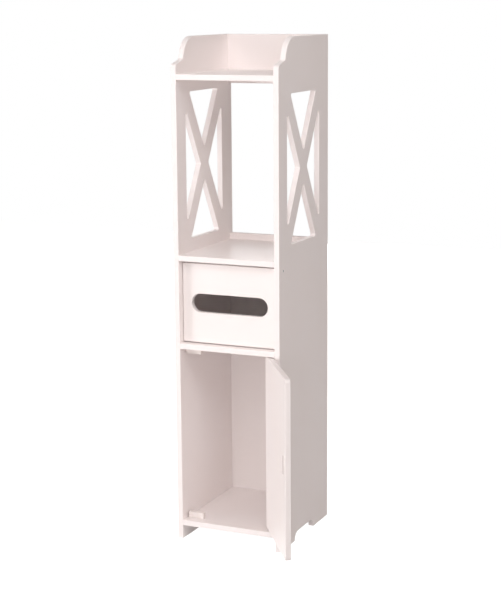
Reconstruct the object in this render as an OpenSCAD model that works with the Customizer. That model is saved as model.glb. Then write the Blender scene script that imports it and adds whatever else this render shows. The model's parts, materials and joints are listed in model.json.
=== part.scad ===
// Slim floor cabinet for toilet rolls and tissues, made of white foamed board.
// From the floor up: a cupboard with a door, a tissue compartment behind a slotted
// flap, an open bay between side panels with X-shaped cut-outs, and a top tray.
// Frame: X runs to the right, Y to the rear and Z up. The origin is the lower front
// outer corner of the left side panel. All lengths are in millimetres.

/* [Boards] */
// Thickness of every board
board_t = 9; // [8:0.5:12]
// Width over the two side panels
cabinet_w = 180; // [172:1:300]
// Depth from the side panels' front edges to their rear edges
cabinet_d = 200; // [150:1:300]
// Setback of the back boards in front of the side panels' rear edges
back_inset = 3; // [0:0.5:10]

/* [Heights] */
// Height of the bottom shelf's underside above the floor
feet_h = 22.5; // [18:0.5:60]
// Clear height of the cupboard behind the door
cupboard_h = 282.5; // [220:0.5:420]
// Clear height of the tissue compartment
tissue_bay_h = 131.5; // [105:0.5:200]
// Clear height of the open bay
open_bay_h = 271.5; // [180:0.5:400]
// Height of the side panels above the top shelf
tray_h = 56; // [50:0.5:100]
// How far the gallery board reaches below the top shelf
gallery_drop = 14; // [0:0.5:30]
// How far the back panel stands above the middle shelf
back_lip = 10; // [0:0.5:30]

/* [Side panel top] */
// Height of the front shoulder below the top edge
shoulder_drop = 41.6; // [38:0.2:48]
// Slope of the shoulder, in degrees
shoulder_slope = 15; // [5:1:22]
// Depth at which the riser's line meets the top edge
riser_y = 38; // [34:0.5:60]
// Lean of the riser from the horizontal, in degrees
riser_lean = 70; // [60:1:78]
// Radius of the rounded front shoulder
shoulder_r = 6; // [2:0.5:8]
// Radius of the hollow at the foot of the riser
hollow_r = 5; // [2:0.5:8]
// Radius of the crown between the riser and the top edge
crown_r = 36; // [10:1:38]

/* [Side panel foot] */
// Length of the front foot
front_foot = 59; // [30:1:70]
// Length of the rear foot
rear_foot = 62; // [30:1:75]
// Height of the arch between the feet
arch_h = 14; // [6:0.5:16]

/* [X cut-out] */
// Board left in front of the cut-out
cut_front = 32; // [22:1:50]
// Board left behind the cut-out
cut_rear = 38; // [22:1:50]
// Board left between the cut-out and the shelves below and above it
cut_margin = 20; // [12:1:40]
// Width of the two crossing arms
arm_w = 24; // [12:1:32]
// Radius in the corners of the four triangles
cut_r = 3; // [1:0.5:5]

/* [Tissue flap] */
// Setback of the flap behind the front edges
flap_recess = 12; // [6:0.5:20]
// Gap at each end of the flap
flap_side_gap = 0.75; // [0.5:0.25:3]
// Gap between the flap's top edge and the middle shelf
flap_top_gap = 3.8; // [2:0.1:5]
// Gap below the flap
flap_low_gap = 1.5; // [0.5:0.25:3]
// Radius of the flap's upper edges
flap_top_r = 1.5; // [0.5:0.25:3.5]
// Distance from the flap's top edge down to its pivot line
flap_pivot_down = 3.5; // [3.5:0.25:6]
// Length of the tissue slot
slot_l = 130; // [80:1:134]
// Height of the tissue slot
slot_h = 29.5; // [18:0.5:36]
// Height of the slot's centre line above the flap's lower edge
slot_up = 63.5; // [45:0.5:75]

/* [Door] */
// Setback of the closed door behind the front edges
door_recess = 6; // [2:0.5:10]
// Gap at each side of the closed door
door_side_gap = 1.5; // [1:0.25:3]
// Gap above and below the door
door_end_gap = 1.8; // [1.2:0.1:3]
// Distance from the right side panel to the pivot line
pivot_in = 12.7; // [12.5:0.1:18]
// Angle at which the door stands open, in degrees
door_open = 124; // [0:1:124]
// Radius of the two free corners
door_corner_r = 6; // [2:0.5:15]
// Width of the finger slot
pull_w = 10; // [8:0.5:16]
// Height of the finger slot
pull_h = 30; // [20:1:60]
// Distance from the door's free edge to the finger slot's centre line
pull_in = 17.5; // [12:0.5:40]
// Height of the finger slot's centre above the door's lower edge
pull_up = 145; // [60:1:180]

/* [Stop blocks] */
// Length of a stop block
stop_l = 26; // [12:1:40]
// Depth of a stop block
stop_d = 9; // [6:0.5:15]
// Height of a stop block
stop_h = 10; // [6:0.5:16]
// Distance from the side panel to the block
stop_in = 3; // [0:0.5:10]
// Distance from the closed door or flap to its block
stop_gap = 0.3; // [0.1:0.1:1]

/* [Pins and dowels] */
// Radius of the pivot pins
pin_r = 2; // [1.5:0.25:3]
// Depth of a pivot pin in the door or the flap
pin_grip = 12; // [6:0.5:18]
// Board left behind the blind hole of a door pin
pin_skin = 2.5; // [1.5:0.25:4]
// Setback of a flap pin's end behind the outer face
pin_sink = 0.3; // [0:0.1:1]
// Radius of the collar that carries the door
collar_r = 4; // [3.5:0.25:6]
// Radius of the dowels
dowel_r = 2.5; // [2:0.25:3]
// Depth of a dowel in a side panel
dowel_side = 6; // [4:0.25:7]
// Depth of a dowel in the board that it carries
dowel_board = 14; // [8:0.5:25]
// Distance from a board's ends to its first and last dowel
dowel_inset = 35; // [20:1:50]
// Distance from the gallery board's edges to its dowels
gallery_inset = 15; // [8:1:25]
// Radial clearance of a turning pin
turn_fit = 0.05; // [0.02:0.01:0.1]
// Radial clearance of a pin or dowel that is pressed or glued in
seat_fit = 0.02; // [0:0.01:0.05]
// Clearance at the end of each blind hole, and above the collar
end_fit = 0.25; // [0.1:0.05:0.5]

/* [Hidden] */
$fn = 64;
cut_over = 1;     // how far a cut runs past the face it opens
arc_over = 0.005; // how far a rounding circle runs past the two edges that it joins

white = [0.98, 0.95, 0.94];
steel = [0.62, 0.62, 0.63];
beech = [0.80, 0.66, 0.48];

// Inner faces of the side panels and front face of the back boards
left_in = board_t;
right_in = cabinet_w - board_t;
inner_w = right_in - left_in;
back_y = cabinet_d - back_inset - board_t;

// Undersides of the four shelves, stacked from the floor up
bottom_z = feet_h;
lower_z = bottom_z + board_t + cupboard_h;
middle_z = lower_z + board_t + tissue_bay_h;
top_z = middle_z + board_t + open_bay_h;
cabinet_h = top_z + board_t + tray_h;

// Back boards: the gallery behind the tray, and the panel behind both compartments
gallery_z = top_z - gallery_drop;
back_panel_top = middle_z + board_t + back_lip;

// Flap: a board hung on pins near its top edge
flap_w = inner_w - 2 * flap_side_gap;
flap_x = left_in + flap_side_gap;
flap_z = lower_z + board_t + flap_low_gap;
flap_top = middle_z - flap_top_gap;
flap_axis_y = flap_recess + board_t / 2;
flap_axis_z = flap_top - flap_pivot_down;

// Door: closed size and place, and the upright pivot line near its right edge
door_w = inner_w - 2 * door_side_gap;
door_x = left_in + door_side_gap;
door_z = bottom_z + board_t + door_end_gap;
door_h = cupboard_h - 2 * door_end_gap;
door_axis_x = right_in - pivot_in;
door_axis_y = door_recess + board_t / 2;

// Dowel centres [depth, height] of each board
function shelf_dowel_places(z) =
    [for (y = [dowel_inset, back_y - dowel_inset]) [y, z + board_t / 2]];
function back_dowel_places(low, high, inset, count) =
    [for (i = [0 : count - 1])
        [back_y + board_t / 2, low + inset + i * (high - low - 2 * inset) / (count - 1)]];

top_places = shelf_dowel_places(top_z);
middle_places = shelf_dowel_places(middle_z);
lower_places = shelf_dowel_places(lower_z);
bottom_places = shelf_dowel_places(bottom_z);
gallery_places = back_dowel_places(gallery_z, cabinet_h, gallery_inset, 2);
back_places = back_dowel_places(bottom_z, back_panel_top, dowel_inset, 3);
all_places = concat(top_places, middle_places, lower_places, bottom_places,
                    gallery_places, back_places);

function unit(v) = v / norm(v);

// The area between the corner at point v and an arc of radius r that joins its two edges,
// where a and b are the outline's neighbouring points. Taken off it rounds a corner; added
// it fills one. The circle is larger by arc_over, so that it crosses the edges cleanly.
module corner_area(v, a, b, r) {
    to_a = unit(a - v);
    to_b = unit(b - v);
    middle = unit(to_a + to_b);
    half_angle = acos(to_a * to_b) / 2;
    reach = r / tan(half_angle);
    centre = v + middle * r / sin(half_angle);
    difference() {
        polygon([v - middle * cut_over, v + to_a * reach, centre, v + to_b * reach]);
        translate(centre) circle(r + arc_over);
    }
}

// A triangle with three rounded corners
module rounded_triangle(p, q, s, r) {
    difference() {
        polygon([p, q, s]);
        corner_area(p, q, s, r);
        corner_area(q, s, p, r);
        corner_area(s, p, q, r);
    }
}

// A flat slot with round ends, centred on the origin
module round_slot(length, height) {
    square([length - height, height], center = true);
    for (side = [-1, 1]) translate([side * (length - height) / 2, 0]) circle(height / 2);
}

// Four triangles round two crossing arms: the X-shaped cut-out, in depth and height
module x_cut_out() {
    y0 = cut_front;
    y1 = cabinet_d - cut_rear;
    z0 = middle_z + board_t + cut_margin;
    z1 = top_z - cut_margin;
    mid = [(y0 + y1) / 2, (z0 + z1) / 2];
    diagonal = norm([y1 - y0, z1 - z0]);
    off_z = arm_w / 2 * diagonal / (y1 - y0);
    off_y = arm_w / 2 * diagonal / (z1 - z0);
    rounded_triangle([y0 + off_y, z1], [y1 - off_y, z1], mid + [0, off_z], cut_r);
    rounded_triangle([y0 + off_y, z0], [y1 - off_y, z0], mid - [0, off_z], cut_r);
    rounded_triangle([y0, z0 + off_z], [y0, z1 - off_z], mid - [off_y, 0], cut_r);
    rounded_triangle([y1, z0 + off_z], [y1, z1 - off_z], mid + [off_y, 0], cut_r);
}

// The arch between the two feet, with quarter-round ends, open towards the floor
module foot_arch() {
    y0 = front_foot + arch_h;
    y1 = cabinet_d - rear_foot - arch_h;
    translate([y0, -cut_over]) square([y1 - y0, arch_h + cut_over]);
    for (y = [y0, y1]) translate([y, 0]) circle(arch_h);
}

// Outline of a side panel in depth and height
module side_outline() {
    front = [0, cabinet_h - shoulder_drop];
    crown = [riser_y, cabinet_h];
    // where the sloping shoulder meets the riser
    run = (shoulder_drop - riser_y * tan(riser_lean)) / (tan(shoulder_slope) - tan(riser_lean));
    notch = front + run * [1, tan(shoulder_slope)];
    rear = [cabinet_d, cabinet_h];
    difference() {
        union() {
            polygon([[0, 0], front, notch, crown, rear, [cabinet_d, 0]]);
            corner_area(notch, front, crown, hollow_r);
        }
        corner_area(front, [0, 0], notch, shoulder_r);
        corner_area(crown, notch, rear, crown_r);
        x_cut_out();
        foot_arch();
    }
}

// Dowels, or the holes for them, at both ends of a board
module dowel_set(places, r, side_depth, board_depth) {
    for (place = places) {
        translate([left_in - side_depth, place[0], place[1]]) rotate([0, 90, 0])
            cylinder(h = side_depth + board_depth, r = r);
        translate([right_in - board_depth, place[0], place[1]]) rotate([0, 90, 0])
            cylinder(h = side_depth + board_depth, r = r);
    }
}

module dowels(places) {
    color(beech) dowel_set(places, dowel_r, dowel_side, dowel_board);
}

module dowel_holes(places) {
    dowel_set(places, dowel_r + seat_fit, dowel_side + end_fit, dowel_board + end_fit);
}

// A rod along X at the flap's pivot line, from x0 to x1
module flap_axis_rod(x0, x1, r) {
    translate([x0, flap_axis_y, flap_axis_z]) rotate([0, 90, 0]) cylinder(h = x1 - x0, r = r);
}

// A rod along Z at the door's pivot line, from z0 to z1
module door_axis_rod(z0, z1, r) {
    translate([door_axis_x, door_axis_y, z0]) cylinder(h = z1 - z0, r = r);
}

module side_panel(x) {
    difference() {
        translate([x, 0, 0]) rotate([90, 0, 90]) linear_extrude(board_t) side_outline();
        dowel_holes(all_places);
        flap_axis_rod(-cut_over, left_in + cut_over, pin_r + seat_fit);
        flap_axis_rod(right_in - cut_over, cabinet_w + cut_over, pin_r + seat_fit);
    }
}

module left_side_panel() {
    color(white) side_panel(0);
}

module right_side_panel() {
    color(white) side_panel(right_in);
}

module shelf(z, places) {
    difference() {
        translate([left_in, 0, z]) cube([inner_w, back_y, board_t]);
        dowel_holes(places);
    }
}

module top_shelf() {
    color(white) shelf(top_z, top_places);
}

module middle_shelf() {
    color(white) shelf(middle_z, middle_places);
}

module lower_shelf() {
    color(white) difference() {
        shelf(lower_z, lower_places);
        door_axis_rod(lower_z - cut_over, lower_z + board_t - pin_skin, pin_r + seat_fit);
    }
}

module bottom_shelf() {
    color(white) difference() {
        shelf(bottom_z, bottom_places);
        door_axis_rod(bottom_z + pin_skin, bottom_z + board_t + cut_over, pin_r + seat_fit);
    }
}

module back_board(low, high, places) {
    difference() {
        translate([left_in, back_y, low]) cube([inner_w, board_t, high - low]);
        dowel_holes(places);
    }
}

module gallery_board() {
    color(white) back_board(gallery_z, cabinet_h, gallery_places);
}

module back_panel() {
    color(white) back_board(bottom_z, back_panel_top, back_places);
}

// Outline of the flap's end in depth and height, with its two upper edges rounded
module flap_end() {
    low_front = [flap_recess, flap_z];
    top_front = [flap_recess, flap_top];
    top_rear = [flap_recess + board_t, flap_top];
    low_rear = [flap_recess + board_t, flap_z];
    difference() {
        polygon([low_front, top_front, top_rear, low_rear]);
        corner_area(top_front, low_front, top_rear, flap_top_r);
        corner_area(top_rear, top_front, low_rear, flap_top_r);
    }
}

module tissue_flap() {
    slot_place = [cabinet_w / 2, flap_axis_y, flap_z + slot_up];
    bore_depth = pin_grip + end_fit;
    color(white) difference() {
        translate([flap_x, 0, 0]) rotate([90, 0, 90]) linear_extrude(flap_w) flap_end();
        translate(slot_place) rotate([90, 0, 0])
            linear_extrude(board_t + 2 * cut_over, center = true) round_slot(slot_l, slot_h);
        flap_axis_rod(flap_x - cut_over, flap_x + bore_depth, pin_r + turn_fit);
        flap_axis_rod(flap_x + flap_w - bore_depth, flap_x + flap_w + cut_over,
                      pin_r + turn_fit);
    }
}

module flap_pin_left() {
    color(steel) flap_axis_rod(pin_sink, flap_x + pin_grip, pin_r);
}

module flap_pin_right() {
    color(steel) flap_axis_rod(flap_x + flap_w - pin_grip, cabinet_w - pin_sink, pin_r);
}

// A stop block with its lower front left corner at the given point
module stop_block(x, y, z) {
    color(white) translate([x, y, z]) cube([stop_l, stop_d, stop_h]);
}

module flap_stop_left() {
    stop_block(left_in + stop_in, flap_recess + board_t + stop_gap, lower_z + board_t);
}

module flap_stop_right() {
    stop_block(right_in - stop_in - stop_l, flap_recess + board_t + stop_gap,
               lower_z + board_t);
}

// Turns the closed door about its pivot line to the angle at which it stands open
module opened() {
    translate([door_axis_x, door_axis_y, 0]) rotate(door_open)
        translate([-door_axis_x, -door_axis_y, 0]) children();
}

// Outline of the door in width and height, with its two free corners rounded
module door_outline() {
    low = [door_x, door_z];
    high = [door_x, door_z + door_h];
    low_hinge = [door_x + door_w, door_z];
    high_hinge = [door_x + door_w, door_z + door_h];
    difference() {
        polygon([low, high, high_hinge, low_hinge]);
        corner_area(low, low_hinge, high, door_corner_r);
        corner_area(high, low, high_hinge, door_corner_r);
        translate([door_x + pull_in, door_z + pull_up]) rotate(90)
            round_slot(pull_h, pull_w);
    }
}

module door() {
    bore_depth = pin_grip + end_fit;
    color(white) opened() difference() {
        translate([0, door_recess + board_t, 0]) rotate([90, 0, 0])
            linear_extrude(board_t) door_outline();
        door_axis_rod(door_z - cut_over, door_z + bore_depth, pin_r + turn_fit);
        door_axis_rod(door_z + door_h - bore_depth, door_z + door_h + cut_over,
                      pin_r + turn_fit);
    }
}

module door_pin_top() {
    color(steel) door_axis_rod(door_z + door_h - pin_grip,
                               lower_z + board_t - pin_skin - end_fit, pin_r);
}

// The lower pin has a collar that carries the door
module door_pin_bottom() {
    color(steel) {
        door_axis_rod(bottom_z + pin_skin + end_fit, door_z + pin_grip, pin_r);
        door_axis_rod(bottom_z + board_t, door_z - end_fit, collar_r);
    }
}

module door_stop_upper() {
    stop_block(left_in + stop_in, door_recess + board_t + stop_gap, lower_z - stop_h);
}

module door_stop_lower() {
    stop_block(left_in + stop_in, door_recess + board_t + stop_gap, bottom_z + board_t);
}

module top_shelf_dowels() {
    dowels(top_places);
}

module middle_shelf_dowels() {
    dowels(middle_places);
}

module lower_shelf_dowels() {
    dowels(lower_places);
}

module bottom_shelf_dowels() {
    dowels(bottom_places);
}

module gallery_dowels() {
    dowels(gallery_places);
}

module back_panel_dowels() {
    dowels(back_places);
}

left_side_panel();
right_side_panel();
top_shelf();
middle_shelf();
lower_shelf();
bottom_shelf();
gallery_board();
back_panel();
tissue_flap();
flap_pin_left();
flap_pin_right();
flap_stop_left();
flap_stop_right();
door();
door_pin_top();
door_pin_bottom();
door_stop_upper();
door_stop_lower();
top_shelf_dowels();
middle_shelf_dowels();
lower_shelf_dowels();
bottom_shelf_dowels();
gallery_dowels();
back_panel_dowels();
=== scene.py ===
# Slim floor cabinet for toilet rolls and tissues, dressed for rendering.
# Every board, pin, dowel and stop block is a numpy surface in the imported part's own frame:
# an edge profile carried along an outline, closed by flat faces with real holes in them.
import json
import math
import bpy
import numpy as np
from mathutils import Matrix, Vector
from mathutils.geometry import tessellate_polygon


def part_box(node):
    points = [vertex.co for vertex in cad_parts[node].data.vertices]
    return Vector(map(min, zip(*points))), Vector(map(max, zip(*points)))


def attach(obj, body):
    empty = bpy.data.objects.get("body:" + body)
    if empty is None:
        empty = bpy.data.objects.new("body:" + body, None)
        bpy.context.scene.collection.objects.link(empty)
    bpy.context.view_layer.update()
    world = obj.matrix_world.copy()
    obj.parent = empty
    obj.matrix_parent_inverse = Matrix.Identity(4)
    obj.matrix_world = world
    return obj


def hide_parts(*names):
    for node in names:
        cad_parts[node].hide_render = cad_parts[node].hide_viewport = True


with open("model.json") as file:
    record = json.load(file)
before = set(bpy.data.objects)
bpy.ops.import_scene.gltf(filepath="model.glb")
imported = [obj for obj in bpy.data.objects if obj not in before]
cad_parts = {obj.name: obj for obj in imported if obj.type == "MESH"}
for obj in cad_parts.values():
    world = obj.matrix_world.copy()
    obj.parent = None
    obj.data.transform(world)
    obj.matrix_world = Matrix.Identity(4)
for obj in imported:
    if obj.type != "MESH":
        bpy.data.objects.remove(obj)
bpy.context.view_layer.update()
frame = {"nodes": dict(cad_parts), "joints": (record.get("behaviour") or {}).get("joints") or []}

print("frame loaded:", len(frame["nodes"]), "nodes")

# What all the boards share, in metres
board = {
    "thickness": 0.009,
    "edgeRound": 0.0008,      # rounding of the edges that stay free
    "cornerRound": 0.0011,    # outline corners that look sharp
    "jointRound": 0.00015,    # edges that butt against another board
    "jointCorner": 0.00022,   # outline corners of those boards, wider than their end lips
    "seamRound": 0.0007,      # back panel's ends, whose seams show as thin lines
    "sliver": 1e-6,           # shortest straight run between two arcs
    "arcSteps": 8,            # straight pieces in an outline's arc
    "lipSteps": 4,            # straight pieces in the small arc of an edge
}
freeRound = board["edgeRound"]
tightRound = board["jointRound"]

# Local axes (a, b, c) of an outline and its thickness, as rows in the part's frame
axesYZX = np.array([[0, 1, 0], [0, 0, 1], [1, 0, 0]], float)
axesXZY = np.array([[1, 0, 0], [0, 0, 1], [0, 1, 0]], float)
axesXYZ = np.eye(3)


# ---- outlines and edge profiles

# A vector divided by its length
def unitVector(v):
    return v / np.linalg.norm(v)


# Points along straight runs joined by tangent arcs. Each arc is a centre plus its radius
# times a normal that turns from one run's right-hand side to the next one's. An open path
# also keeps its two end corners, unless an arc starts right on them.
def roundedPath(corners, radii, steps, closed=True):
    corners = np.array(corners, float)
    count = len(corners)
    points, normals = [], []
    for k in range(count) if closed else range(1, count - 1):
        into = unitVector(corners[k] - corners[k - 1])
        out = unitVector(corners[(k + 1) % count] - corners[k])
        turn = math.atan2(into[0] * out[1] - into[1] * out[0], into @ out)
        side = math.copysign(1, turn)
        firstNormal = np.array([into[1], -into[0]])
        start = corners[k] - into * radii[k] * math.tan(abs(turn) / 2)
        angle = np.linspace(0, turn, steps + 1)[:, None]
        normal = firstNormal * np.cos(angle) + into * np.sin(angle)
        points.append(start + side * radii[k] * (normal - firstNormal))
        normals.append(normal)
    if not closed:
        # end 0 is the first corner and end -1 the last one
        for end, run in ((0, corners[1] - corners[0]), (-1, corners[-1] - corners[-2])):
            if np.linalg.norm(points[end][end] - corners[end]) > board["sliver"]:
                along = unitVector(run)
                at = len(points[end]) if end else 0
                points[end] = np.insert(points[end], at, corners[end], axis=0)
                normals[end] = np.insert(normals[end], at, [along[1], -along[0]], axis=0)
    return np.concatenate(points), np.concatenate(normals)


# Number of the straight run that leaves the given arc of a closed path; arcs count from 1
def straightRun(arc, steps):
    return arc * (steps + 1) - 1


# A circle round a centre; a hole runs clockwise so that the material stays on its left
def circlePath(centre, radius, count, hole=True):
    angle = np.arange(count) / count * 2 * math.pi * (-1 if hole else 1)
    spoke = np.stack([np.cos(angle), np.sin(angle)], axis=1)
    return np.array(centre) + radius * spoke, -spoke if hole else spoke


# A slot with round ends, lying or upright, run clockwise
def slotPath(centre, length, height, steps):
    half = np.array([length / 2, height / 2])
    corners = np.array(centre) + half * [[-1, -1], [-1, 1], [1, 1], [1, -1]]
    radius = min(length, height) / 2 - board["sliver"]
    return roundedPath(corners, [radius] * 4, steps)


# Edge profile from height low to height high as (outward, up) corners with rounded turns;
# a lip of None leaves that end plain, for the floor of a blind hole
def edgeProfile(low, high, lipLow, lipHigh):
    corners = [(0, low), (0, high)]
    radii = [0, 0]
    if lipLow is not None:
        corners = [(-lipLow, low)] + corners
        radii = [0, lipLow, 0]
    if lipHigh is not None:
        corners = corners + [(-lipHigh, high)]
        radii = radii[:-1] + [lipHigh, 0]
    return roundedPath(corners, radii, board["lipSteps"], closed=False)


# ---- shells: points, normals and faces gathered piece by piece

# An empty shell; faceNormals takes one normal for each corner of each face
def newShell():
    return {"points": np.zeros((0, 3)), "normals": np.zeros((0, 3)), "faces": [], "faceNormals": []}


# Adds a grid of points that closes round its second axis, and gives their numbers and the
# quads between neighbours
def addGrid(shell, points, normals):
    rows, around = points.shape[:2]
    first = len(shell["points"])
    index = np.arange(first, first + rows * around).reshape(rows, around)
    shell["points"] = np.concatenate([shell["points"], points.reshape(-1, 3)])
    shell["normals"] = np.concatenate([shell["normals"], normals.reshape(-1, 3)])
    ahead = np.roll(index, -1, axis=1)
    return index, np.stack([index[:-1], ahead[:-1], ahead[1:], index[1:]], axis=-1)


# Faces whose corners take the normals of their points
def addSmoothFaces(shell, faces):
    shell["faces"].append(faces)
    shell["faceNormals"].append(shell["normals"][faces])


# Surface(k, j) = outline point j moved along its own normal by the profile's outward value k
# and along the third axis by its height k. The straight runs in skipRuns stay open between
# the two lips, and the quads left out there are given back.
def carryProfile(shell, axes, outline, profile, skipRuns=()):
    (points2, normals2), (steps, turns) = outline, profile
    across = points2[None] + normals2[None] * steps[:, :1, None]
    points = across @ axes[:2] + steps[:, 1, None, None] * axes[2]
    normals = (normals2[None] * turns[:, :1, None]) @ axes[:2] + turns[:, 1, None, None] * axes[2]
    index, quads = addGrid(shell, points, normals)
    keep = np.ones(quads.shape[:2], bool)
    band = int(np.argmax(np.diff(steps[:, 1])))      # the tall row between the two lips
    openings = []
    for run in skipRuns:
        keep[band, run] = False
        openings.append(quads[band, run])
    quads = quads[keep]
    if np.linalg.det(axes) < 0:
        quads = quads[:, ::-1]
    addSmoothFaces(shell, quads)
    return index, openings


# A flat face: the polygon of the first loop less the others, cut into triangles. It looks
# along the third axis where side is 1, and against it where side is -1.
def closeFlat(shell, axes, loops, side):
    index = np.concatenate(loops)
    flat = shell["points"][index] @ axes[:2].T
    ends = np.cumsum([len(loop) for loop in loops])[:-1]
    rings = [np.pad(ring, ((0, 0), (0, 1))).tolist() for ring in np.split(flat, ends)]
    triangles = np.array(tessellate_polygon(rings))
    p, q, r = (flat[triangles[:, k]] for k in range(3))
    area = (q[:, 0] - p[:, 0]) * (r[:, 1] - p[:, 1]) - (q[:, 1] - p[:, 1]) * (r[:, 0] - p[:, 0])
    wrong = area * side * np.linalg.det(axes) < 0
    triangles[wrong] = triangles[wrong][:, ::-1]
    shell["faces"].append(index[triangles])
    shell["faceNormals"].append(np.broadcast_to(axes[2] * side, triangles.shape + (3,)))


# A hole between two heights, with the rims at its low and high ends given back. An end with a
# lip of None gets a floor there, which makes the hole blind.
def drillHole(shell, axes, outline, low, high, lipLow, lipHigh):
    index, _ = carryProfile(shell, axes, outline, edgeProfile(low, high, lipLow, lipHigh))
    if lipLow is None:
        closeFlat(shell, axes, [index[0]], 1)
    if lipHigh is None:
        closeFlat(shell, axes, [index[-1]], -1)
    return index[0], index[-1]


# A board: its outline carried between two heights with rounded lips, and two flat faces
# with the given rims cut out of them
def buildBoard(shell, axes, outline, low, high, lip, lowRims=(), highRims=(), skipRuns=()):
    profile = edgeProfile(low, high, lip, lip)
    index, openings = carryProfile(shell, axes, outline, profile, skipRuns)
    closeFlat(shell, axes, [index[0], *lowRims], -1)
    closeFlat(shell, axes, [index[-1], *highRims], 1)
    return openings


# ---- from shell to object

# Weight of the cut edges: one less the squared part of the normal along the thickness
def edgeWeight(normals, thicknessAxis):
    return 1 - (normals @ np.array(thicknessAxis, float)) ** 2


# A mesh of the shell's points and faces that keeps the surfaces' own corner normals and the
# weight of its cut edges; turn is a rigid move from where it was built to where it rests
def makePiece(name, shell, material, body, nodes, thicknessAxis=(0, 0, 0), turn=None):
    points, normals = shell["points"], shell["normals"]
    weight = edgeWeight(normals, thicknessAxis)
    faceNormals = np.concatenate([n.reshape(-1, 3) for n in shell["faceNormals"]])
    if turn is not None:
        points = points @ turn[:3, :3].T + turn[:3, 3]
        faceNormals = faceNormals @ turn[:3, :3].T
    sizes = np.concatenate([np.full(len(f), f.shape[1]) for f in shell["faces"]])
    corners = np.concatenate([f.ravel() for f in shell["faces"]])
    mesh = bpy.data.meshes.new(name)
    mesh.vertices.add(len(points))
    mesh.vertices.foreach_set("co", points.ravel())
    mesh.loops.add(len(corners))
    mesh.loops.foreach_set("vertex_index", corners.astype(np.int32))
    mesh.polygons.add(len(sizes))
    starts = np.concatenate([[0], np.cumsum(sizes)[:-1]])
    mesh.polygons.foreach_set("loop_start", starts.astype(np.int32))
    mesh.polygons.foreach_set("use_smooth", np.ones(len(sizes), bool))
    mesh.update(calc_edges=True)
    mesh.attributes.new("edge", "FLOAT", "POINT").data.foreach_set("value", weight)
    mesh.normals_split_custom_set(faceNormals.tolist())
    mesh.materials.append(material)
    piece = bpy.data.objects.new(name, mesh)
    bpy.context.scene.collection.objects.link(piece)
    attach(piece, body)
    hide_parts(*nodes)


# ---- materials

# Nearly all of a noise's values, and a narrower range for more contrast
noiseRange = (0.3, 0.7)
noiseCore = (0.35, 0.65)


# A material, its node tree and its main shader
def newMaterial(name):
    material = bpy.data.materials.new(name)
    material.use_nodes = True
    tree = material.node_tree
    return material, tree, tree.nodes["Principled BSDF"]


# A node of one kind with some of its inputs set; an underscore stands for a space
def addNode(tree, kind, **inputs):
    node = tree.nodes.new(kind)
    for key, value in inputs.items():
        node.inputs[key.replace("_", " ")].default_value = value
    return node


# An input takes a link from another node's output, or else a colour or number of its own
def feed(tree, socket, value):
    if isinstance(value, bpy.types.NodeSocket):
        tree.links.new(value, socket)
    else:
        socket.default_value = (*value, 1) if isinstance(value, tuple) else value


# Each point's place in the object's own space, in metres
def objectPlace(tree):
    return tree.nodes.new("ShaderNodeTexCoord").outputs["Object"]


# Noise from 0 to 1 at a place, with its waves counted per metre
def noiseAt(tree, place, waves, detail):
    noise = addNode(tree, "ShaderNodeTexNoise", Scale=waves, Detail=detail)
    tree.links.new(place, noise.inputs["Vector"])
    return noise.outputs["Fac"]


# A value carried in a straight line from one range to another, and held at its ends
def remap(tree, value, source, target):
    node = addNode(tree, "ShaderNodeMapRange", From_Min=source[0], From_Max=source[1],
                   To_Min=target[0], To_Max=target[1])
    tree.links.new(value, node.inputs["Value"])
    return node.outputs["Result"]


# First times (1 - factor) plus second times factor, of colours (RGBA) or numbers (FLOAT)
def blend(tree, kind, factor, first, second):
    node = tree.nodes.new("ShaderNodeMix")
    node.data_type = kind
    tree.links.new(factor, node.inputs["Factor"])
    feed(tree, node.inputs["A"], first)
    feed(tree, node.inputs["B"], second)
    return node.outputs["Result"]


# The normal tilted by a height's slope, over the normal of a relief beneath it
def relief(tree, height, strength, depth, beneath=None):
    node = addNode(tree, "ShaderNodeBump", Strength=strength, Distance=depth)
    tree.links.new(height, node.inputs["Height"])
    if beneath is not None:
        tree.links.new(beneath, node.inputs["Normal"])
    return node.outputs["Normal"]


# sRGB from 0 to 255 to the linear values that the shaders take
def linearColour(*rgb):
    share = np.array(rgb) / 255
    return tuple(np.where(share <= 0.04045, share / 12.92, ((share + 0.055) / 1.055) ** 2.4).tolist())


# Noises are given as (waves per metre, detail), and reliefs as (strength, depth in metres)
whiteBoard = {
    "face": linearColour(251, 244, 243),
    "faceDrift": linearColour(250, 242, 240),
    "cutEdge": linearColour(252, 245, 244),
    "drift": (9, 2),
    "skin": (60, 3),
    "roughness": (0.36, 0.46),
    "edgeRoughness": 0.55,
    "stipple": (900, 3),
    "stippleRelief": (0.12, 0.00004),
    "foamCells": 2600,        # per metre
    "foamRelief": (0.15, 0.00003),
}


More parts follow.
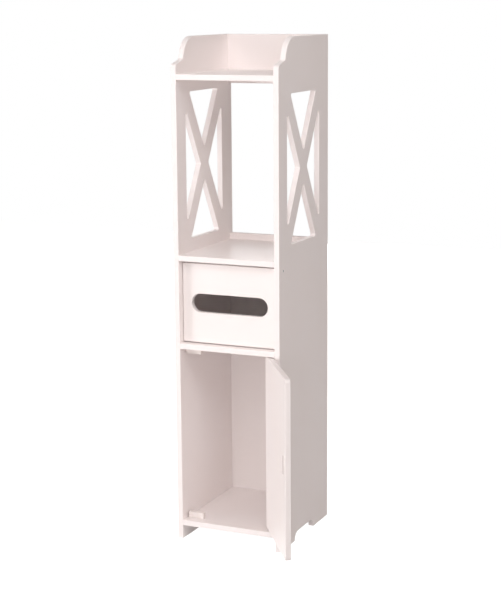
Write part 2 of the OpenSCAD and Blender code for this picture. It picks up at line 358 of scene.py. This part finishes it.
# Foamed board: a satin skin with a slow drift of tone, blended into duller cut edges
def boardMaterial():
    look = whiteBoard
    material, tree, shader = newMaterial("whiteBoard")
    place = objectPlace(tree)
    edge = tree.nodes.new("ShaderNodeAttribute")
    edge.attribute_name = "edge"
    cut = edge.outputs["Fac"]
    drift = remap(tree, noiseAt(tree, place, *look["drift"]), noiseRange, (0, 1))
    face = blend(tree, "RGBA", drift, look["face"], look["faceDrift"])
    feed(tree, shader.inputs["Base Color"], blend(tree, "RGBA", cut, face, look["cutEdge"]))
    skin = remap(tree, noiseAt(tree, place, *look["skin"]), noiseRange, look["roughness"])
    feed(tree, shader.inputs["Roughness"], blend(tree, "FLOAT", cut, skin, look["edgeRoughness"]))
    # closed cells of the cut foam, as deep as the edge weight says, over the skin's stipple
    stipple = relief(tree, noiseAt(tree, place, *look["stipple"]), *look["stippleRelief"])
    cells = addNode(tree, "ShaderNodeTexVoronoi", Scale=look["foamCells"])
    tree.links.new(place, cells.inputs["Vector"])
    cellDepth = tree.nodes.new("ShaderNodeMath")
    cellDepth.operation = "MULTIPLY"
    tree.links.new(cells.outputs["Distance"], cellDepth.inputs[0])
    tree.links.new(cut, cellDepth.inputs[1])
    foam = relief(tree, cellDepth.outputs["Value"], *look["foamRelief"], stipple)
    feed(tree, shader.inputs["Normal"], foam)
    return material


# Tone, roughness and relief, each from a noise of its own
def speckledMaterial(name, look):
    material, tree, shader = newMaterial(name)
    place = objectPlace(tree)
    flow = remap(tree, noiseAt(tree, place, *look["flow"]), noiseCore, (0, 1))
    feed(tree, shader.inputs["Base Color"], blend(tree, "RGBA", flow, look["base"], look["dull"]))
    wear = remap(tree, noiseAt(tree, place, *look["wear"]), noiseRange, look["roughness"])
    feed(tree, shader.inputs["Roughness"], wear)
    feed(tree, shader.inputs["Metallic"], look["metallic"])
    grain = relief(tree, noiseAt(tree, place, *look["grain"]), *look["grainRelief"])
    feed(tree, shader.inputs["Normal"], grain)
    return material


# Moulded plastic of the stop blocks, with a fine grain
stopPlastic = {
    "base": linearColour(248, 240, 237),
    "dull": linearColour(243, 234, 230),
    "flow": (120, 2),
    "wear": (400, 2),
    "roughness": (0.38, 0.5),
    "metallic": 0,
    "grain": (2200, 2),
    "grainRelief": (0.2, 0.00005),
}

# Drawn steel of the pins, dulled in flecks, with fine scratches
pinSteel = {
    "base": linearColour(176, 176, 178),
    "dull": linearColour(150, 149, 150),
    "flow": (700, 3),
    "wear": (1500, 4),
    "roughness": (0.28, 0.45),
    "metallic": 1,
    "grain": (5000, 2),
    "grainRelief": (0.15, 0.00002),
}

dowelWood = {
    "early": linearColour(222, 196, 158),
    "late": linearColour(196, 164, 122),
    "fleck": (1800, 4),
    "alongGrain": (0.08, 1, 1),      # scale of the place, which draws the flecks out along X
    "fleckRange": (0.4, 0.65),
    "roughness": (0.62, 0.78),
    "poreRelief": (0.3, 0.00005),
}


# Beech along X: short darker flecks, stretched along the grain
def woodMaterial():
    look = dowelWood
    material, tree, shader = newMaterial("dowelWood")
    stretch = addNode(tree, "ShaderNodeMapping", Scale=look["alongGrain"])
    tree.links.new(objectPlace(tree), stretch.inputs["Vector"])
    fleck = noiseAt(tree, stretch.outputs["Vector"], *look["fleck"])
    grain = remap(tree, fleck, look["fleckRange"], (0, 1))
    feed(tree, shader.inputs["Base Color"], blend(tree, "RGBA", grain, look["early"], look["late"]))
    feed(tree, shader.inputs["Roughness"], remap(tree, fleck, noiseRange, look["roughness"]))
    feed(tree, shader.inputs["Normal"], relief(tree, fleck, *look["poreRelief"]))
    return material


white = boardMaterial()
plastic = speckledMaterial("stopPlastic", stopPlastic)
steel = speckledMaterial("pinSteel", pinSteel)
wood = woodMaterial()
print("materials made")

# ---- places taken from the frame

spans = {name: np.array(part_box(name)) for name in frame["nodes"]}
joints = {joint["name"]: joint for joint in frame["joints"]}
leftOuter, leftInner = spans["left_side_panel"][:, 0]
rightInner, rightOuter = spans["right_side_panel"][:, 0]
depth, height = spans["left_side_panel"][1, 1:]

dowel = {
    "radius": 0.0025,
    "fit": 0.00002,           # radial clearance of its hole
    "endGap": 0.00025,        # room left at the bottom of its hole
    "inPanel": 0.006,
    "inBoard": 0.014,
    "flutes": 14,
    "fluteSteps": 6,          # points round each flute
    "fluteDepth": 0.00022,
    "chamferAlong": 0.0007,
    "chamferIn": 0.00056,
    "chamferTilt": 0.0014,    # how far the end rings' normals lean along it
    "round": 32,              # points round a hole
}
dowelGroups = {
    "top_shelf": "top_shelf_dowels",
    "middle_shelf": "middle_shelf_dowels",
    "lower_shelf": "lower_shelf_dowels",
    "bottom_shelf": "bottom_shelf_dowels",
    "gallery_board": "gallery_dowels",
    "back_panel": "back_panel_dowels",
}
uprightCounts = {"gallery_dowels": 2, "back_panel_dowels": 3}      # one above the other


# Dowel centres (depth, height) of a board, from the box of its dowel group in the frame: one
# at each end of the box in a shelf, or evenly up the box in an upright board
def dowelPlaces(group):
    low, high = spans[group][0, 1:] + dowel["radius"], spans[group][1, 1:] - dowel["radius"]
    if group in uprightCounts:
        return [(low[0], z) for z in np.linspace(low[1], high[1], uprightCounts[group])]
    return [(y, low[1]) for y in (low[0], high[0])]


# A blind hole round each place, whose lip of None marks its floor; gives the open rims
def dowelHoles(shell, places, low, high, lipLow, lipHigh):
    radius = dowel["radius"] + dowel["fit"]
    rims = [drillHole(shell, axesYZX, circlePath(place, radius, dowel["round"]),
                      low, high, lipLow, lipHigh) for place in places]
    return [rim[0 if lipLow is not None else 1] for rim in rims]


pin = {
    "radius": 0.002,
    "seatFit": 0.00002,       # radial clearance where it sits tight
    "turnFit": 0.00005,       # radial clearance in the board that turns
    "endGap": 0.00025,
    "grip": 0.012,            # length in the board that turns
    "skin": 0.0025,           # board left behind a door pin
    "edgeRound": 0.0004,
    "round": 48,              # points round it
}
flapAxis = np.array(joints["flap_hinge"]["pos_m"])
doorAxis = np.array(joints["door_hinge"]["pos_m"])

# ---- side panels

panelShape = {
    "shoulderDrop": 0.0416,   # front shoulder below the top edge
    "shoulderSlope": 15,      # degrees
    "riserAt": 0.038,         # depth where the riser's line meets the top edge
    "riserLean": 70,          # degrees
    "shoulderRound": 0.006,
    "hollowRound": 0.005,
    "crownRound": 0.036,
    "frontFoot": 0.059,
    "rearFoot": 0.062,
    "archHeight": 0.014,
    "cutFront": 0.032,        # board left round the X cut-out
    "cutRear": 0.038,
    "cutMargin": 0.020,
    "armWidth": 0.024,
    "cutRound": 0.003,
}


# The shoulder rises from the front edge at its slope, and the riser leans back to the top
# edge. They meet at the depth where both lines have the same height.
def panelOutline():
    shape = panelShape
    slope, lean = (math.tan(math.radians(shape[key])) for key in ("shoulderSlope", "riserLean"))
    meet = (shape["shoulderDrop"] - shape["riserAt"] * lean) / (slope - lean)
    shoulder = height - shape["shoulderDrop"]
    corner = board["cornerRound"]
    front, rear, arch = shape["frontFoot"], depth - shape["rearFoot"], shape["archHeight"]
    hollow = arch - corner - board["sliver"]
    corners = [
        (0, 0, corner), (front, 0, corner), (front, arch, hollow),
        (rear, arch, hollow), (rear, 0, corner), (depth, 0, corner),
        (depth, height, corner), (shape["riserAt"], height, shape["crownRound"]),
        (meet, shoulder + meet * slope, shape["hollowRound"]),
        (0, shoulder, shape["shoulderRound"]),
    ]
    return roundedPath([c[:2] for c in corners], [c[2] for c in corners], board["arcSteps"])


# The four triangles round two crossing arms, each a closed path run clockwise. An arm's edge
# lies half its width from the box's diagonal, which is offY along the depth and offZ up.
def cutOutPaths():
    shape = panelShape
    y0, y1 = shape["cutFront"], depth - shape["cutRear"]
    z0 = spans["middle_shelf"][1, 2] + shape["cutMargin"]
    z1 = spans["top_shelf"][0, 2] - shape["cutMargin"]
    y, z = (y0 + y1) / 2, (z0 + z1) / 2
    diagonal = math.hypot(y1 - y0, z1 - z0)
    offZ = shape["armWidth"] / 2 * diagonal / (y1 - y0)
    offY = shape["armWidth"] / 2 * diagonal / (z1 - z0)
    triangles = [
        [(y0 + offY, z1), (y1 - offY, z1), (y, z + offZ)],
        [(y1 - offY, z0), (y0 + offY, z0), (y, z - offZ)],
        [(y0, z0 + offZ), (y0, z1 - offZ), (y - offY, z)],
        [(y1, z1 - offZ), (y1, z0 + offZ), (y + offY, z)],
    ]
    return [roundedPath(t, [shape["cutRound"]] * 3, board["arcSteps"]) for t in triangles]


# The cut-outs and the flap pin's bore go right through; the dowel holes are blind, from the
# inner face
def sidePanel(name, low, high, innerIsHigh):
    shell = newShell()
    rims = [drillHole(shell, axesYZX, path, low, high, freeRound, freeRound)
            for path in cutOutPaths()]
    bore = circlePath(flapAxis[1:], pin["radius"] + pin["seatFit"], pin["round"])
    rims.append(drillHole(shell, axesYZX, bore, low, high, tightRound, tightRound))
    places = [place for group in dowelGroups.values() for place in dowelPlaces(group)]
    reach = dowel["inPanel"] + dowel["endGap"]
    blind = (dowelHoles(shell, places, high - reach, high, None, tightRound) if innerIsHigh
             else dowelHoles(shell, places, low, low + reach, tightRound, None))
    buildBoard(shell, axesYZX, panelOutline(), low, high, freeRound,
               [rim[0] for rim in rims] + ([] if innerIsHigh else blind),
               [rim[1] for rim in rims] + (blind if innerIsHigh else []))
    makePiece(name, shell, white, "carcass", [name], (1, 0, 0))


sidePanel("left_side_panel", leftOuter, leftInner, True)
sidePanel("right_side_panel", rightInner, rightOuter, False)
print("side panels made")

# ---- shelves and back boards, carried from side to side between the panels

# Rounds are those of the (front low, rear low, rear high, front high) edges, and endRound
# is that of both ends; doorPin says in which face the door pin's blind hole is drilled
def crossBoard(node, rounds, thicknessAxis, endRound=tightRound, doorPin=None):
    shell = newShell()
    low, high = spans[node]
    corners = [(low[1], low[2]), (high[1], low[2]), (high[1], high[2]), (low[1], high[2])]
    outline = roundedPath(corners, rounds, board["lipSteps"])
    places = dowelPlaces(dowelGroups[node])
    reach = dowel["inBoard"] + dowel["endGap"]
    nearRims = dowelHoles(shell, places, low[0], low[0] + reach, tightRound, None)
    farRims = dowelHoles(shell, places, high[0] - reach, high[0], None, tightRound)
    faceArcs = {"below": [1], "above": [3]}.get(doorPin, [])
    runs = [straightRun(arc, board["lipSteps"]) for arc in faceArcs]
    openings = buildBoard(shell, axesYZX, outline, low[0], high[0], endRound,
                          nearRims, farRims, runs)
    hole = circlePath(doorAxis[:2], pin["radius"] + pin["seatFit"], pin["round"])
    drilled = board["thickness"] - pin["skin"]
    if doorPin == "below":
        rim = drillHole(shell, axesXYZ, hole, low[2], low[2] + drilled, tightRound, None)[0]
        closeFlat(shell, axesXYZ, [openings[0], rim], -1)
    if doorPin == "above":
        rim = drillHole(shell, axesXYZ, hole, high[2] - drilled, high[2], None, tightRound)[1]
        closeFlat(shell, axesXYZ, [openings[0], rim], 1)
    makePiece(node, shell, white, "carcass", [node], thicknessAxis)


shelfRounds = [freeRound, board["jointCorner"], board["jointCorner"], freeRound]
crossBoard("top_shelf", shelfRounds, (0, 0, 1))
crossBoard("middle_shelf", shelfRounds, (0, 0, 1))
crossBoard("lower_shelf", shelfRounds, (0, 0, 1), doorPin="below")
crossBoard("bottom_shelf", shelfRounds, (0, 0, 1), doorPin="above")
crossBoard("gallery_board", [freeRound] * 4, (0, 1, 0))
crossBoard("back_panel", [freeRound] * 4, (0, 1, 0), endRound=board["seamRound"])
print("shelves and back boards made")

# ---- tissue flap

flap = {
    "edgeRound": 0.001,
    "topRound": 0.0015,
    "endRound": 0.00045,      # round the two ends
    "slotLength": 0.130,
    "slotHeight": 0.0295,
    "slotUp": 0.0635,         # slot's centre line above the lower edge
    "slotRound": 0.0012,
    "slotSteps": 16,
}


# The end outline in depth and height is carried from side to side; the slot runs through
# from the front face to the back face
def tissueFlap():
    shell = newShell()
    low, high = spans["tissue_flap"]
    corners = [(low[1], low[2]), (high[1], low[2]), (high[1], high[2]), (low[1], high[2])]
    steps = flap["slotSteps"]
    rounds = [flap["edgeRound"]] * 2 + [flap["topRound"]] * 2
    outline = roundedPath(corners, rounds, steps)
    bore = circlePath(flapAxis[1:], pin["radius"] + pin["turnFit"], pin["round"])
    reach = pin["grip"] + pin["endGap"]
    near = drillHole(shell, axesYZX, bore, low[0], low[0] + reach, tightRound, None)[0]
    far = drillHole(shell, axesYZX, bore, high[0] - reach, high[0], None, tightRound)[1]
    centre = ((low[0] + high[0]) / 2, low[2] + flap["slotUp"])
    slotOutline = slotPath(centre, flap["slotLength"], flap["slotHeight"], steps)
    front, back = drillHole(shell, axesXZY, slotOutline, low[1], high[1],
                            flap["slotRound"], flap["slotRound"])
    frontFace, backFace = buildBoard(
        shell, axesYZX, outline, low[0], high[0], flap["endRound"], [near], [far],
        [straightRun(4, steps), straightRun(2, steps)])
    closeFlat(shell, axesXZY, [frontFace, front], -1)
    closeFlat(shell, axesXZY, [backFace, back], 1)
    makePiece("tissue_flap", shell, white, "flap", ["tissue_flap"], (0, 1, 0))


tissueFlap()
print("flap made")

# ---- door

door = {
    "setback": 0.006,         # behind the front edges when it is shut
    "sideGap": 0.0015,
    "cornerRound": 0.006,     # free corners
    "hingeCorner": 0.00143,   # corners of the hinge edge, wider than its edge rounding
    "edgeRound": 0.0011,
    "pullWidth": 0.010,
    "pullHeight": 0.030,
    "pullIn": 0.0175,         # finger slot's centre line from the free edge
    "pullUp": 0.145,          # finger slot's centre above the lower edge
    "pullRound": 0.0003,
    "pullSteps": 12,
}


# Built shut, then turned about its pivot line to where it stands open in the frame
def doorPiece():
    shell = newShell()
    x0, x1 = leftInner + door["sideGap"], rightInner - door["sideGap"]
    y0, y1 = door["setback"], door["setback"] + board["thickness"]
    z0, z1 = spans["door"][:, 2]
    free, hinged, steps = door["cornerRound"], door["hingeCorner"], board["arcSteps"]
    outline = roundedPath([(x0, z0), (x1, z0), (x1, z1), (x0, z1)],
                          [free, hinged, hinged, free], steps)
    pullCentre = (x0 + door["pullIn"], z0 + door["pullUp"])
    pull = slotPath(pullCentre, door["pullWidth"], door["pullHeight"], door["pullSteps"])
    front, back = drillHole(shell, axesXZY, pull, y0, y1, door["pullRound"], door["pullRound"])
    bore = circlePath(doorAxis[:2], pin["radius"] + pin["turnFit"], pin["round"])
    reach = pin["grip"] + pin["endGap"]
    low = drillHole(shell, axesXYZ, bore, z0, z0 + reach, tightRound, None)[0]
    high = drillHole(shell, axesXYZ, bore, z1 - reach, z1, None, tightRound)[1]
    lowerEdge, upperEdge = buildBoard(
        shell, axesXZY, outline, y0, y1, door["edgeRound"], [front], [back],
        [straightRun(1, steps), straightRun(3, steps)])
    closeFlat(shell, axesXYZ, [lowerEdge, low], -1)
    closeFlat(shell, axesXYZ, [upperEdge, high], 1)
    swing = math.radians(-joints["door_hinge"]["range_deg"][0])
    turn = np.array(Matrix.Translation(doorAxis) @ Matrix.Rotation(swing, 4, "Z")
                    @ Matrix.Translation(-doorAxis))
    makePiece("door", shell, white, "door", ["door"], (0, 1, 0), turn)


doorPiece()
print("door made")

# ---- stop blocks, pins and dowels

stop = {"cornerRound": 0.0012, "edgeRound": 0.001}


# A block seen from the front as a rounded rectangle, carried from its front to its back
def stopBlock(node):
    shell = newShell()
    low, high = spans[node]
    corners = [(low[0], low[2]), (high[0], low[2]), (high[0], high[2]), (low[0], high[2])]
    outline = roundedPath(corners, [stop["cornerRound"]] * 4, board["lipSteps"])
    buildBoard(shell, axesXZY, outline, low[1], high[1], stop["edgeRound"])
    makePiece(node, shell, plastic, "carcass", [node])


# A turned rod: a circle carried along the rod's own (outward, along) profile
def turnedPin(node, axes, centre, profile):
    shell = newShell()
    circle = circlePath(centre, pin["radius"], pin["round"], hole=False)
    index, _ = carryProfile(shell, axes, circle, profile)
    closeFlat(shell, axes, [index[0]], -1)
    closeFlat(shell, axes, [index[-1]], 1)
    makePiece(node, shell, steel, "carcass", [node])


for name in ("flap_stop_left", "flap_stop_right", "door_stop_upper", "door_stop_lower"):
    stopBlock(name)

tip = pin["edgeRound"]
for name in ("flap_pin_left", "flap_pin_right"):
    turnedPin(name, axesYZX, flapAxis[1:], edgeProfile(*spans[name][:, 0], tip, tip))
turnedPin("door_pin_top", axesXYZ, doorAxis[:2], edgeProfile(*spans["door_pin_top"][:, 2], tip, tip))

# the lower pin has a collar that carries the door
collar = {
    "radius": 0.004,
    "gap": 0.00025,           # below the door
    "edgeRound": 0.0003,
    "innerRound": 0.00008,    # where it meets the pin
}
pinLow, pinHigh = spans["door_pin_bottom"][:, 2]
collarLow = spans["bottom_shelf"][1, 2]
collarHigh = spans["door"][0, 2] - collar["gap"]
wide = collar["radius"] - pin["radius"]
inner = collar["innerRound"]
lowerPin = roundedPath(
    [(-tip, pinLow), (0, pinLow), (0, collarLow), (wide, collarLow), (wide, collarHigh),
     (0, collarHigh), (0, pinHigh), (-tip, pinHigh)],
    [0, tip, inner, collar["edgeRound"], collar["edgeRound"], inner, tip, 0],
    board["lipSteps"], closed=False)
turnedPin("door_pin_bottom", axesXYZ, doorAxis[:2], lowerPin)


# Fluted dowel: radius(angle, along) = full radius, less the flute depth times the positive
# half of a cosine with one wave for each flute, and less the chamfer at both ends
def dowelPoints(centre, low, high):
    around = dowel["flutes"] * dowel["fluteSteps"]
    angle = np.arange(around) / around * 2 * math.pi
    groove = dowel["fluteDepth"] * np.clip(np.cos(angle * dowel["flutes"]), 0, 1)
    along = np.array([low, low + dowel["chamferAlong"], high - dowel["chamferAlong"], high])
    inset = np.array([dowel["chamferIn"], 0, 0, dowel["chamferIn"]])
    radius = dowel["radius"] - groove[None] - inset[:, None]
    spoke = np.stack([np.cos(angle), np.sin(angle)], axis=1)
    rings = np.array(centre) + radius[..., None] * spoke
    return np.concatenate([np.broadcast_to(along[:, None, None], radius.shape + (1,)), rings], -1)


# A board's dowels at both of its ends. A normal is the point less its place on the dowel's
# middle line, with a tilt along the dowel at its two end rings.
def dowelGroup(group):
    shell = newShell()
    ends = [(leftInner - dowel["inPanel"], leftInner + dowel["inBoard"]),
            (rightInner - dowel["inBoard"], rightInner + dowel["inPanel"])]
    tilt = np.array([-1, 0, 0, 1])[:, None] * dowel["chamferTilt"]
    for place in dowelPlaces(group):
        for low, high in ends:
            points = dowelPoints(place, low, high)
            normals = points - np.array([0, *place])
            normals[..., 0] = tilt
            normals /= np.linalg.norm(normals, axis=-1, keepdims=True)
            index, quads = addGrid(shell, points, normals)
            addSmoothFaces(shell, quads.reshape(-1, 4))
            closeFlat(shell, axesYZX, [index[0]], -1)
            closeFlat(shell, axesYZX, [index[-1]], 1)
    makePiece(group, shell, wood, "carcass", [group])


for name in dowelGroups.values():
    dowelGroup(name)
print("stops, pins and dowels made")

# ---- floor, light and camera

studio = {
    "floorSize": 6.0,
    "floorColour": (0.85, 0.85, 0.85),
    "floorPale": (0.867, 0.867, 0.867),
    "floorFleck": (4, 2),
    "floorRoughness": 0.9,
    "floorLift": 0.92,        # white added for the camera and for reflections
    "ambient": (0.088, 0.048, 0.03),
    # lamps as degrees to the right of the front, degrees up, distance, size and watts
    "lamps": {
        "keyLow": (-55, 8, 3.0, 1.8, 17.2),
        "keyHigh": (0, 45, 3.0, 1.8, 20.0),
        "front": (10, 12, 3.0, 2.2, 12.5),
        "sideHigh": (45, 40, 3.0, 1.6, 22.5),
        "sideNear": (85, 45, 1.3, 0.8, 1.5),
        "top": (0, 90, 2.2, 1.6, 3.0),
        "lowLeft": (-55, -4, 2.2, 0.6, 11.5),
        "lowFront": (-20, -4, 2.2, 0.6, 1.2),
        "lowRight": (15, -4, 2.2, 0.6, 2.7),
        "rear": (200, 2, 3.0, 0.9, 12.5),
    },
}


# The given value for camera, glossy and transmission rays, and 0 for all the rest
def whiteRays(tree, seen):
    path = tree.nodes.new("ShaderNodeLightPath")
    rays = [path.outputs[key] for key in ("Is Camera Ray", "Is Glossy Ray", "Is Transmission Ray")]
    total = rays[0]
    for ray in rays[1:]:
        larger = tree.nodes.new("ShaderNodeMath")
        larger.operation = "MAXIMUM"
        tree.links.new(total, larger.inputs[0])
        tree.links.new(ray, larger.inputs[1])
        total = larger.outputs["Value"]
    return remap(tree, total, (0, 1), (0, seen))


# Diffuse floor that takes the shadow; camera and reflection rays also get a white lift
def floorMaterial():
    material, tree, shader = newMaterial("studioFloor")
    fleck = remap(tree, noiseAt(tree, objectPlace(tree), *studio["floorFleck"]), noiseRange, (0, 1))
    tone = blend(tree, "RGBA", fleck, studio["floorColour"], studio["floorPale"])
    feed(tree, shader.inputs["Base Color"], tone)
    feed(tree, shader.inputs["Roughness"], studio["floorRoughness"])
    feed(tree, shader.inputs["Specular IOR Level"], 0)
    feed(tree, shader.inputs["Emission Color"], (1, 1, 1))
    feed(tree, shader.inputs["Emission Strength"], whiteRays(tree, studio["floorLift"]))
    return material


# A square sheet at the height of the feet, with its middle at the part's origin
def buildFloor():
    half = studio["floorSize"] / 2
    mesh = bpy.data.meshes.new("studio_floor")
    corners = [(-half, -half, 0), (half, -half, 0), (half, half, 0), (-half, half, 0)]
    mesh.from_pydata(corners, [], [(0, 1, 2, 3)])
    mesh.materials.append(floorMaterial())
    floor = bpy.data.objects.new("studio_floor", mesh)
    bpy.context.scene.collection.objects.link(floor)


# A warm dim glow lights the part, and white is what the camera and reflections see behind it
def buildWorld():
    world = bpy.data.worlds.new("studio")
    bpy.context.scene.world = world
    world.use_nodes = True
    tree = world.node_tree
    tree.nodes.clear()
    ambient = addNode(tree, "ShaderNodeBackground", Color=(*studio["ambient"], 1), Strength=1)
    backdrop = addNode(tree, "ShaderNodeBackground", Color=(1, 1, 1, 1), Strength=1)
    mix = tree.nodes.new("ShaderNodeMixShader")
    out = tree.nodes.new("ShaderNodeOutputWorld")
    tree.links.new(whiteRays(tree, 1), mix.inputs["Fac"])
    tree.links.new(ambient.outputs["Background"], mix.inputs[1])
    tree.links.new(backdrop.outputs["Background"], mix.inputs[2])
    tree.links.new(mix.outputs["Shader"], out.inputs["Surface"])


# Place = target plus the distance along the lamp's azimuth and elevation
def areaLamp(name, target, azimuth, elevation, distance, size, power):
    turn, rise = math.radians(azimuth), math.radians(elevation)
    away = np.array([math.sin(turn) * math.cos(rise), -math.cos(turn) * math.cos(rise),
                     math.sin(rise)])
    light = bpy.data.lights.new(name, "AREA")
    light.shape = "DISK"
    light.size = size
    light.energy = power
    lamp = bpy.data.objects.new(name, light)
    bpy.context.scene.collection.objects.link(lamp)
    lamp.location = target + away * distance
    lamp.rotation_euler = Vector(-away).to_track_quat("-Z", "Y").to_euler()


# Fitted to the straight edges of the photograph, in the part's own frame: degrees to the
# right of the front, degrees down, and the roll about the line of sight
camera = {
    "place": (1.09887, -2.12935, 0.8571),
    "azimuth": 24.4293,
    "pitch": 10.9072,
    "roll": -0.4415,
    "focalPixels": 1551.459,
    "longerSide": 594,        # pixels of the photograph's height
    "sensor": 36.0,           # millimetres along the longer side
    "clip": (0.05, 50),
}


# Focal length = focal pixels times the sensor's millimetres per pixel; the view is turned
# down and rolled at the lens, and then turned about the upright axis
def buildCamera():
    lens = bpy.data.cameras.new("camera")
    lens.sensor_width = camera["sensor"]
    lens.lens = camera["focalPixels"] * camera["sensor"] / camera["longerSide"]
    lens.clip_start, lens.clip_end = camera["clip"]
    eye = bpy.data.objects.new("camera", lens)
    bpy.context.scene.collection.objects.link(eye)
    azimuth, pitch, roll = (math.radians(camera[key]) for key in ("azimuth", "pitch", "roll"))
    eye.matrix_world = (Matrix.Translation(camera["place"]) @ Matrix.Rotation(azimuth, 4, "Z")
                        @ Matrix.Rotation(math.pi / 2 - pitch, 4, "X") @ Matrix.Rotation(roll, 4, "Z"))
    bpy.context.scene.camera = eye


cabinetMiddle = np.array([(leftOuter + rightOuter) / 2, depth / 2, height / 2])
buildFloor()
buildWorld()
for name, place in studio["lamps"].items():
    areaLamp(name, cabinetMiddle, *place)
buildCamera()
bpy.context.scene.view_settings.view_transform = "Standard"
print("stage, light and camera made")
